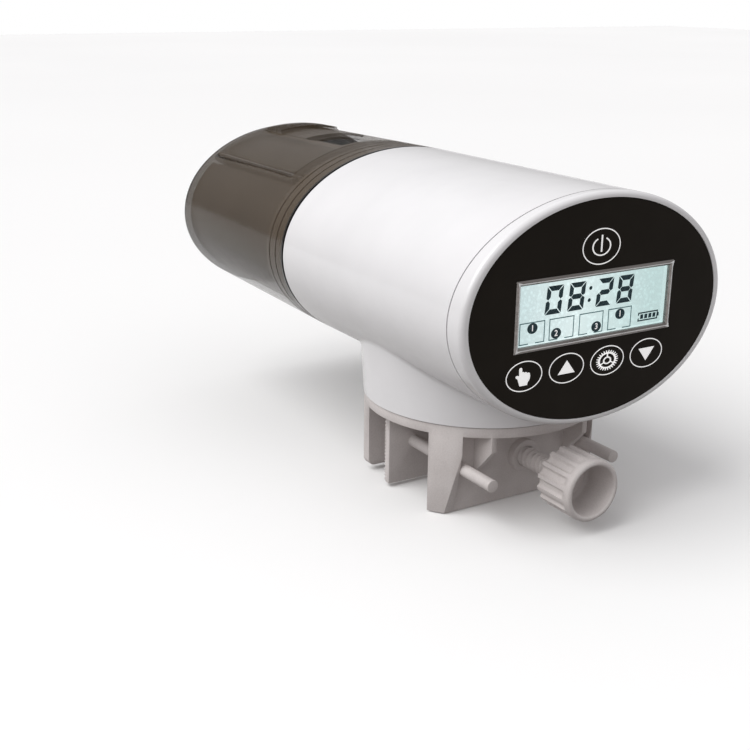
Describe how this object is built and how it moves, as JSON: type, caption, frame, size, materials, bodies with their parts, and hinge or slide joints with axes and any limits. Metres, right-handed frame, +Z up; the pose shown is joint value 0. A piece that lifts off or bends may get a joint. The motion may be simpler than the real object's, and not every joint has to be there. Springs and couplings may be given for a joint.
{
  "type": "automatic fish feeder",
  "caption": "Oval clamp-on fish feeder: display and touch keys on its front, geared rotating food drum with door and shutter behind, swivel clamp below.",
  "frame": {"origin": "on the swivel axis, at the disc's underside, which rests on the rim of the tank", "axes": "+Z up along the swivel axis, +Y along the drum's axis towards the drum, -Y the display end, +X to the right of the display"},
  "size_m": [0.085, 0.1743, 0.0914],
  "materials": {
    "white_shell": "moulded white, glossy",
    "clamp_grey": "moulded warm light grey, satin",
    "smoke_clear": "smoked translucent, polished",
    "panel_black": "black, hard coated",
    "display_trim": "satin metallised plastic",
    "lens_clear": "clear",
    "display_glass": "pale blue-grey liquid crystal cell",
    "light_guide": "white diffuser",
    "circuit_board": "green solder resist",
    "chip_black": "moulded black",
    "plated_steel": "zinc plated",
    "cell_jacket": "plain dark green sleeve",
    "gear_plastic": "natural acetal",
    "bush_brass": "turned",
    "inner_plastic": "moulded dark grey",
    "white_inner": "moulded white, satin"
  },
  "bodies": {
    "clamp_base": {"clamp_frame": "clamp_grey", "swivel_washer": "plated_steel", "swivel_screw": "plated_steel"},
    "jaw": {"sliding_jaw": "clamp_grey", "screw_retainer": "plated_steel"},
    "screw": {"clamp_screw": "clamp_grey", "clamp_knob": "clamp_grey"},
    "housing": {"body_shell": "white_shell", "front_bezel": "white_shell", "touch_panel": "panel_black", "display_frame": "display_trim", "display_lens": "lens_clear", "display_glass": "display_glass", "backlight": "light_guide", "main_board": "circuit_board", "board_screws": "plated_steel", "control_chip": "chip_black", "buzzer": "chip_black", "touch_springs": "plated_steel", "rear_bulkhead": "inner_plastic", "bulkhead_screws": "plated_steel", "battery_door": "white_inner", "spindle_bush": "bush_brass", "battery_box": "inner_plastic", "battery_cells": "cell_jacket", "battery_contacts": "plated_steel", "gear_case": "inner_plastic", "gear_case_cover": "inner_plastic", "gear_arbors": "plated_steel", "motor": "plated_steel"},
    "motor_rotor": {"motor_shaft": "plated_steel", "motor_pinion": "bush_brass"},
    "first_wheel": {"first_gear": "gear_plastic"},
    "second_wheel": {"second_gear": "gear_plastic"},
    "spindle": {"drive_spindle": "gear_plastic", "output_gear": "gear_plastic"},
    "drum": {"drum_body": "smoke_clear", "drum_cap": "smoke_clear", "hinge_pin": "plated_steel"},
    "door": {"filling_door": "smoke_clear"},
    "shutter": {"outlet_shutter": "smoke_clear"}
  },
  "joints": [
    {"name": "housing_swivel", "type": "hinge", "parent": "clamp_base", "child": "housing", "pos_m": [0, 0, 0], "axis": [0, 0, 1], "continuous": true},
    {"name": "jaw_slide", "type": "slide", "parent": "clamp_base", "child": "jaw", "axis": [0, 1, 0], "range_m": [-0.0161, 0.0099]},
    {"name": "knob_turn", "type": "hinge", "parent": "jaw", "child": "screw", "pos_m": [0, 0, -0.0104], "axis": [0, 1, 0], "range_deg": [-2900, 1784]},
    {"name": "drum_turn", "type": "hinge", "parent": "housing", "child": "spindle", "pos_m": [0, 0, 0.0382], "axis": [0, 1, 0], "continuous": true},
    {"name": "second_gear_turn", "type": "hinge", "parent": "housing", "child": "second_wheel", "pos_m": [-0.01195, 0, 0.0451], "axis": [0, 1, 0], "continuous": true},
    {"name": "first_gear_turn", "type": "hinge", "parent": "housing", "child": "first_wheel", "pos_m": [-0.02492, 0, 0.04038], "axis": [0, 1, 0], "continuous": true},
    {"name": "motor_turn", "type": "hinge", "parent": "housing", "child": "motor_rotor", "pos_m": [-0.02492, 0, 0.02658], "axis": [0, 1, 0], "continuous": true},
    {"name": "drum_pull", "type": "slide", "parent": "spindle", "child": "drum", "axis": [0, 1, 0], "range_m": [0, 0.008]},
    {"name": "door_hinge", "type": "hinge", "parent": "drum", "child": "door", "pos_m": [-0.0274, 0, 0.0582], "axis": [0, -1, 0], "range_deg": [0, 80]},
    {"name": "shutter_slide", "type": "slide", "parent": "door", "child": "shutter", "axis": [0, -0.9999, 0.0144], "range_m": [0, 0.0205]}
  ],
  "couplings": [
    {"joint": "knob_turn", "follows": "jaw_slide", "rad_per_m": 3141.6},
    {"joint": "second_gear_turn", "follows": "drum_turn", "ratio": -3.6},
    {"joint": "first_gear_turn", "follows": "drum_turn", "ratio": 12.96},
    {"joint": "motor_turn", "follows": "drum_turn", "ratio": -46.656}
  ]
}
